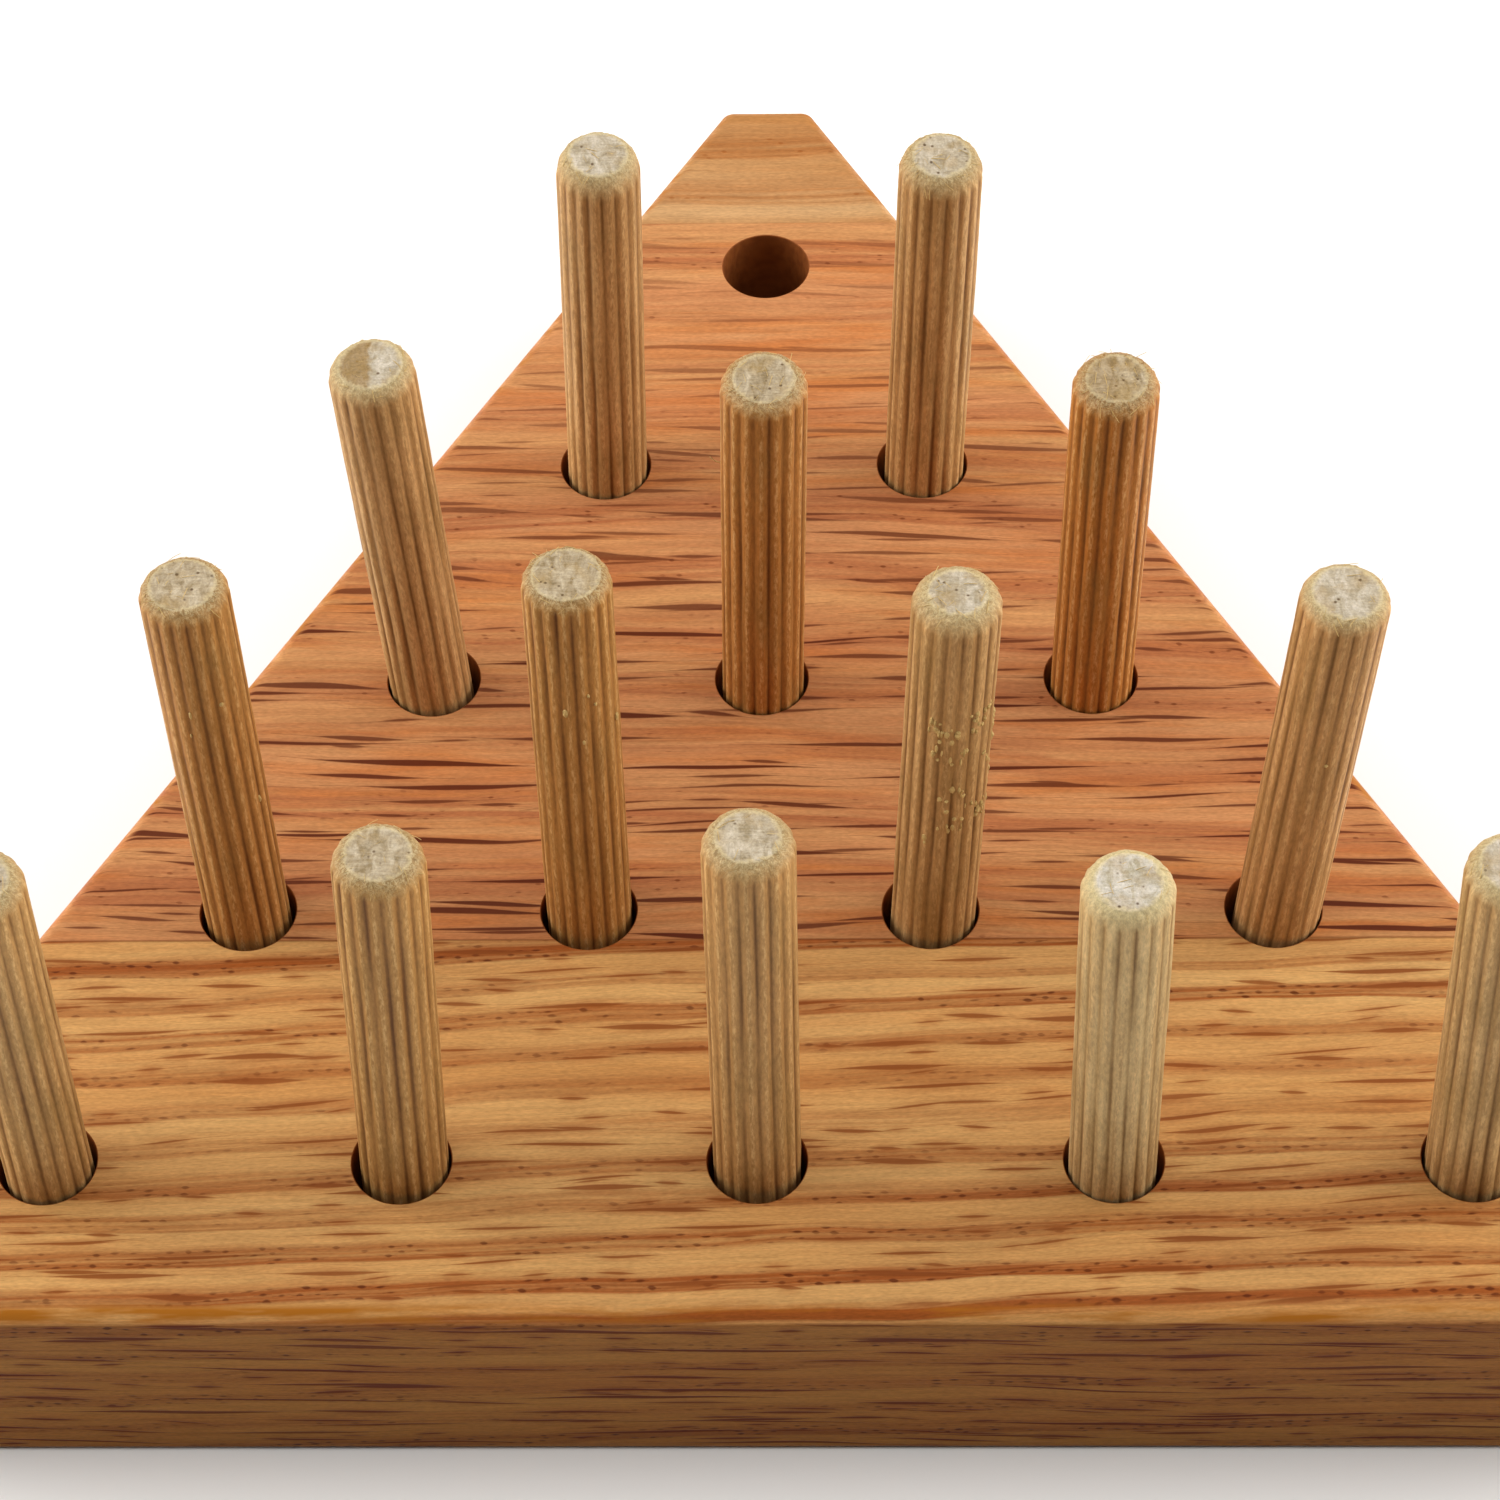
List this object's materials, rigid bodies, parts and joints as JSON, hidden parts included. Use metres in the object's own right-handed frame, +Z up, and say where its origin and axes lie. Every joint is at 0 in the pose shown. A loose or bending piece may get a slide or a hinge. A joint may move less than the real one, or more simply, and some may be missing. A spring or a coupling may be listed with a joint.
{
  "type": "triangle peg jump game",
  "caption": "Triangular edge-glued hardwood board with a triangular grid of blind holes holding loose fluted dowel pegs, which lift out to jump over one another.",
  "frame": {"origin": "on the underside of the board, at the middle of its width and depth", "axes": "+X to the right along the front edge, +Y towards the point with the empty hole, +Z up, out of the holes"},
  "size_m": [0.1382, 0.1198, 0.0558],
  "materials": {
    "oak_golden": "satin oil",
    "oak_rosy": "satin oil",
    "oak_straw": "satin oil",
    "birch_dowel": "raw, fluted and pressed"
  },
  "bodies": {
    "board": {"front_stave": "oak_golden", "middle_stave": "oak_rosy", "rear_stave": "oak_straw"},
    "peg_row2_left": {"peg_row2_left": "birch_dowel"},
    "peg_row2_right": {"peg_row2_right": "birch_dowel"},
    "peg_row3_left": {"peg_row3_left": "birch_dowel"},
    "peg_row3_middle": {"peg_row3_middle": "birch_dowel"},
    "peg_row3_right": {"peg_row3_right": "birch_dowel"},
    "peg_row4_left": {"peg_row4_left": "birch_dowel"},
    "peg_row4_mid_left": {"peg_row4_mid_left": "birch_dowel"},
    "peg_row4_mid_right": {"peg_row4_mid_right": "birch_dowel"},
    "peg_row4_right": {"peg_row4_right": "birch_dowel"},
    "peg_row5_left": {"peg_row5_left": "birch_dowel"},
    "peg_row5_mid_left": {"peg_row5_mid_left": "birch_dowel"},
    "peg_row5_middle": {"peg_row5_middle": "birch_dowel"},
    "peg_row5_mid_right": {"peg_row5_mid_right": "birch_dowel"},
    "peg_row5_right": {"peg_row5_right": "birch_dowel"}
  },
  "joints": [
    {"name": "peg_row2_left_pull", "type": "slide", "parent": "board", "child": "peg_row2_left", "axis": [0.0244, -0.0401, 0.9989], "range_m": [0, 0.055]},
    {"name": "peg_row2_right_pull", "type": "slide", "parent": "board", "child": "peg_row2_right", "axis": [0.0227, -0.0471, 0.9986], "range_m": [0, 0.055]},
    {"name": "peg_row3_left_pull", "type": "slide", "parent": "board", "child": "peg_row3_left", "axis": [-0.0419, -0.0122, 0.999], "range_m": [0, 0.055]},
    {"name": "peg_row3_middle_pull", "type": "slide", "parent": "board", "child": "peg_row3_middle", "axis": [0.0174, -0.0488, 0.9987], "range_m": [0, 0.055]},
    {"name": "peg_row3_right_pull", "type": "slide", "parent": "board", "child": "peg_row3_right", "axis": [0.0052, -0.0523, 0.9986], "range_m": [0, 0.055]},
    {"name": "peg_row4_left_pull", "type": "slide", "parent": "board", "child": "peg_row4_left", "axis": [-0.0157, 0.0279, 0.9995], "range_m": [0, 0.055]},
    {"name": "peg_row4_mid_left_pull", "type": "slide", "parent": "board", "child": "peg_row4_mid_left", "axis": [0.0017, 0.0454, 0.999], "range_m": [0, 0.055]},
    {"name": "peg_row4_mid_right_pull", "type": "slide", "parent": "board", "child": "peg_row4_mid_right", "axis": [0.0314, 0.0052, 0.9995], "range_m": [0, 0.055]},
    {"name": "peg_row4_right_pull", "type": "slide", "parent": "board", "child": "peg_row4_right", "axis": [0.0523, 0, 0.9986], "range_m": [0, 0.055]},
    {"name": "peg_row5_left_pull", "type": "slide", "parent": "board", "child": "peg_row5_left", "axis": [0.0174, -0.0366, 0.9992], "range_m": [0, 0.055]},
    {"name": "peg_row5_mid_left_pull", "type": "slide", "parent": "board", "child": "peg_row5_mid_left", "axis": [0.0314, 0.0087, 0.9995], "range_m": [0, 0.055]},
    {"name": "peg_row5_middle_pull", "type": "slide", "parent": "board", "child": "peg_row5_middle", "axis": [0, 0.0384, 0.9993], "range_m": [0, 0.055]},
    {"name": "peg_row5_mid_right_pull", "type": "slide", "parent": "board", "child": "peg_row5_mid_right", "axis": [-0.0192, -0.0488, 0.9986], "range_m": [0, 0.055]},
    {"name": "peg_row5_right_pull", "type": "slide", "parent": "board", "child": "peg_row5_right", "axis": [-0.0314, -0.0174, 0.9994], "range_m": [0, 0.055]}
  ]
}
